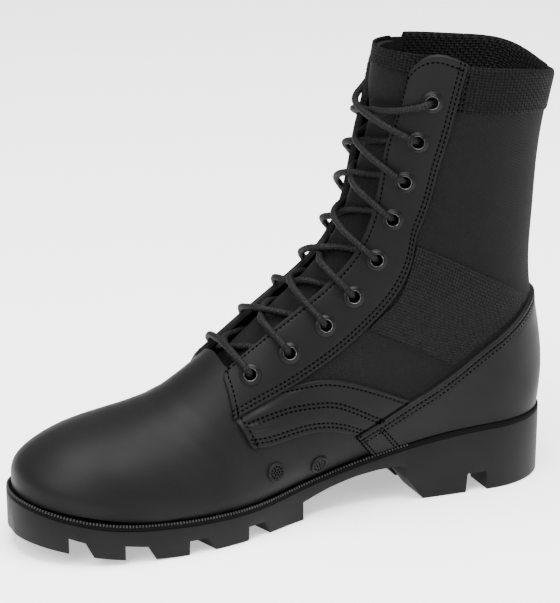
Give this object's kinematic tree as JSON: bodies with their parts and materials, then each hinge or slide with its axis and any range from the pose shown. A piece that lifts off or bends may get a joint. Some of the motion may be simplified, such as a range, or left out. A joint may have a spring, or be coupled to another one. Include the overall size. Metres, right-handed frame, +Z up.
{
  "type": "jungle boot",
  "caption": "Right black leather and nylon jungle boot on a lugged rubber sole, laced through eyelets to a webbing collar.",
  "frame": {"origin": "on the floor, under the middle of the boot's bounding box", "axes": "+X towards the toe, +Y towards the inner (medial) side of the foot, +Z up"},
  "size_m": [0.3138, 0.1024, 0.2487],
  "materials": {
    "leather": "satin",
    "nylon": "matte",
    "webbing": "matte",
    "rubber": "satin",
    "insole_foam": "matte",
    "enamel": "gloss",
    "cord": "matte"
  },
  "bodies": {
    "root": {"ankle_webbing_lateral": "webbing", "ankle_webbing_medial": "webbing", "collar_band": "webbing", "eyelet_lateral_1": "enamel", "eyelet_lateral_2": "enamel", "eyelet_lateral_3": "enamel", "eyelet_lateral_4": "enamel", "eyelet_lateral_5": "enamel", "eyelet_lateral_6": "enamel", "eyelet_lateral_7": "enamel", "eyelet_lateral_8": "enamel", "eyelet_lateral_9": "enamel", "eyelet_medial_1": "enamel", "eyelet_medial_2": "enamel", "eyelet_medial_3": "enamel", "eyelet_medial_4": "enamel", "eyelet_medial_5": "enamel", "eyelet_medial_6": "enamel", "eyelet_medial_7": "enamel", "eyelet_medial_8": "enamel", "eyelet_medial_9": "enamel", "eyestay_lateral": "leather", "eyestay_medial": "leather", "heel_counter": "leather", "insole": "insole_foam", "lace_crossing_1": "cord", "lace_crossing_2": "cord", "lace_crossing_3": "cord", "lace_crossing_4": "cord", "lace_crossing_5": "cord", "lace_crossing_6": "cord", "lace_crossing_7": "cord", "lace_crossing_8": "cord", "outsole": "rubber", "quarter_lateral": "leather", "quarter_medial": "leather", "tongue": "nylon", "upper": "leather", "vent_1": "leather", "vent_2": "leather", "welt": "rubber"}
  },
  "joints": []
}
